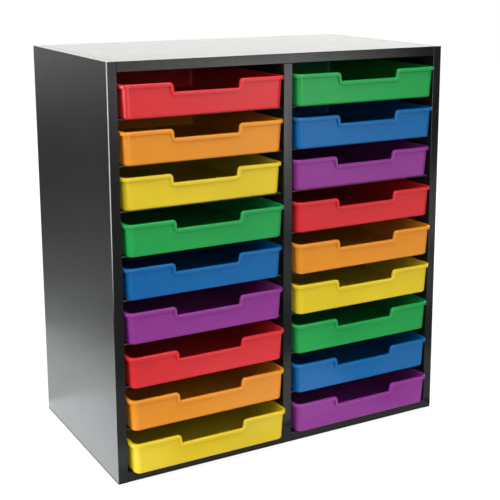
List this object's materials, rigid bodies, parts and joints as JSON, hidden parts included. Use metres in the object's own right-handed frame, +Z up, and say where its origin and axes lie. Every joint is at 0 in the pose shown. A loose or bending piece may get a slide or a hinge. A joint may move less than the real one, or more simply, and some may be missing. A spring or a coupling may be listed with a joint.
{
  "type": "classroom mail center",
  "caption": "Free-standing laminated classroom mail cabinet: two columns of slots on thin grooved shelves, each holding a coloured moulded tray with a finger notch that slides out.",
  "frame": {"origin": "centre of the cabinet's footprint, between its side panels' outer faces and between its front edge bands and rear edges, on the surface it stands on", "axes": "+Z up, +X to the right seen from the front, and the open front looks along -Y"},
  "size_m": [0.61, 0.36, 0.66],
  "materials": {
    "laminate": "black melamine laminate on particle board, satin, fine grained",
    "edge_band": "charcoal edge band, satin",
    "hardboard": "black-faced hardboard with grey-brown edges",
    "zinc": "cast zinc, dull",
    "beech": "plain fluted beech",
    "tray_red": "moulded, gloss",
    "tray_orange": "moulded, gloss",
    "tray_yellow": "moulded, gloss",
    "tray_green": "moulded, gloss",
    "tray_blue": "moulded, gloss",
    "tray_purple": "moulded, gloss"
  },
  "bodies": {
    "cabinet": {"left_side": "laminate", "right_side": "laminate", "top_board": "laminate", "bottom_board": "laminate", "centre_divider": "laminate", "back_panel": "hardboard", "left_front_band": "edge_band", "right_front_band": "edge_band", "top_front_band": "edge_band", "bottom_front_band": "edge_band", "divider_front_band": "edge_band", "left_top_band": "edge_band", "right_top_band": "edge_band", "cam_locks": "zinc", "cam_bolts": "zinc", "dowels": "beech", "shelf_left_1": "hardboard", "shelf_left_2": "hardboard", "shelf_left_3": "hardboard", "shelf_left_4": "hardboard", "shelf_left_5": "hardboard", "shelf_left_6": "hardboard", "shelf_left_7": "hardboard", "shelf_left_8": "hardboard", "shelf_right_1": "hardboard", "shelf_right_2": "hardboard", "shelf_right_3": "hardboard", "shelf_right_4": "hardboard", "shelf_right_5": "hardboard", "shelf_right_6": "hardboard", "shelf_right_7": "hardboard", "shelf_right_8": "hardboard"},
    "tray_left_1": {"tray_left_1": "tray_red"},
    "tray_left_2": {"tray_left_2": "tray_orange"},
    "tray_left_3": {"tray_left_3": "tray_yellow"},
    "tray_left_4": {"tray_left_4": "tray_green"},
    "tray_left_5": {"tray_left_5": "tray_blue"},
    "tray_left_6": {"tray_left_6": "tray_purple"},
    "tray_left_7": {"tray_left_7": "tray_red"},
    "tray_left_8": {"tray_left_8": "tray_orange"},
    "tray_left_9": {"tray_left_9": "tray_yellow"},
    "tray_right_1": {"tray_right_1": "tray_green"},
    "tray_right_2": {"tray_right_2": "tray_blue"},
    "tray_right_3": {"tray_right_3": "tray_purple"},
    "tray_right_4": {"tray_right_4": "tray_red"},
    "tray_right_5": {"tray_right_5": "tray_orange"},
    "tray_right_6": {"tray_right_6": "tray_yellow"},
    "tray_right_7": {"tray_right_7": "tray_green"},
    "tray_right_8": {"tray_right_8": "tray_blue"},
    "tray_right_9": {"tray_right_9": "tray_purple"}
  },
  "joints": [
    {"name": "slide_left_1", "type": "slide", "parent": "cabinet", "child": "tray_left_1", "axis": [0, -1, 0], "range_m": [-0.0088, 0.293]},
    {"name": "slide_left_2", "type": "slide", "parent": "cabinet", "child": "tray_left_2", "axis": [0, -1, 0], "range_m": [-0.0073, 0.295]},
    {"name": "slide_left_3", "type": "slide", "parent": "cabinet", "child": "tray_left_3", "axis": [0, -1, 0], "range_m": [-0.0013, 0.301]},
    {"name": "slide_left_4", "type": "slide", "parent": "cabinet", "child": "tray_left_4", "axis": [0, -1, 0], "range_m": [-0.0108, 0.291]},
    {"name": "slide_left_5", "type": "slide", "parent": "cabinet", "child": "tray_left_5", "axis": [0, -1, 0], "range_m": [-0.0043, 0.298]},
    {"name": "slide_left_6", "type": "slide", "parent": "cabinet", "child": "tray_left_6", "axis": [0, -1, 0], "range_m": [-0.0068, 0.295]},
    {"name": "slide_left_7", "type": "slide", "parent": "cabinet", "child": "tray_left_7", "axis": [0, -1, 0], "range_m": [-0.0118, 0.29]},
    {"name": "slide_left_8", "type": "slide", "parent": "cabinet", "child": "tray_left_8", "axis": [0, -1, 0], "range_m": [-0.0118, 0.29]},
    {"name": "slide_left_9", "type": "slide", "parent": "cabinet", "child": "tray_left_9", "axis": [0, -1, 0], "range_m": [-0.0168, 0.293]},
    {"name": "slide_right_1", "type": "slide", "parent": "cabinet", "child": "tray_right_1", "axis": [0, -1, 0], "range_m": [-0.0088, 0.293]},
    {"name": "slide_right_2", "type": "slide", "parent": "cabinet", "child": "tray_right_2", "axis": [0, -1, 0], "range_m": [-0.0073, 0.295]},
    {"name": "slide_right_3", "type": "slide", "parent": "cabinet", "child": "tray_right_3", "axis": [0, -1, 0], "range_m": [-0.0008, 0.301]},
    {"name": "slide_right_4", "type": "slide", "parent": "cabinet", "child": "tray_right_4", "axis": [0, -1, 0], "range_m": [-0.0073, 0.295]},
    {"name": "slide_right_5", "type": "slide", "parent": "cabinet", "child": "tray_right_5", "axis": [0, -1, 0], "range_m": [-0.0113, 0.291]},
    {"name": "slide_right_6", "type": "slide", "parent": "cabinet", "child": "tray_right_6", "axis": [0, -1, 0], "range_m": [-0.0103, 0.292]},
    {"name": "slide_right_7", "type": "slide", "parent": "cabinet", "child": "tray_right_7", "axis": [0, -1, 0], "range_m": [-0.0078, 0.294]},
    {"name": "slide_right_8", "type": "slide", "parent": "cabinet", "child": "tray_right_8", "axis": [0, -1, 0], "range_m": [-0.0083, 0.294]},
    {"name": "slide_right_9", "type": "slide", "parent": "cabinet", "child": "tray_right_9", "axis": [0, -1, 0], "range_m": [-0.0108, 0.299]}
  ]
}
